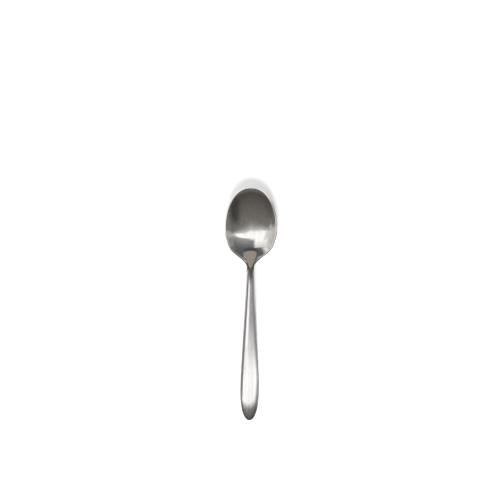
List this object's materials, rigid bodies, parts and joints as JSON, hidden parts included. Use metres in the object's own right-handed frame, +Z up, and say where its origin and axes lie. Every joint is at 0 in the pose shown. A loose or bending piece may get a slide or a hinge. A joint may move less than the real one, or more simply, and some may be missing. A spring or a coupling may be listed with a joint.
{
  "type": "soup spoon",
  "caption": "Steel soup spoon with a deep pointed-oval bowl, a shield-shaped shoulder facet and a domed hollow handle that widens to a round end.",
  "frame": {"origin": "on the table, at the middle of the spoon's length and width as it lies", "axes": "+Y along the spoon towards the bowl's tip, +Z up out of the bowl, X across"},
  "size_m": [0.0438, 0.195, 0.0169],
  "materials": {
    "bowl_steel": "polished stainless steel with fine lengthwise brushing",
    "shell_steel": "polished stainless steel with fine lengthwise brushing",
    "cement": "matte grey-brown cement"
  },
  "bodies": {
    "root": {"bowl": "bowl_steel", "handle_upper_shell": "shell_steel", "handle_lower_shell": "shell_steel", "handle_filler": "cement"}
  },
  "joints": []
}
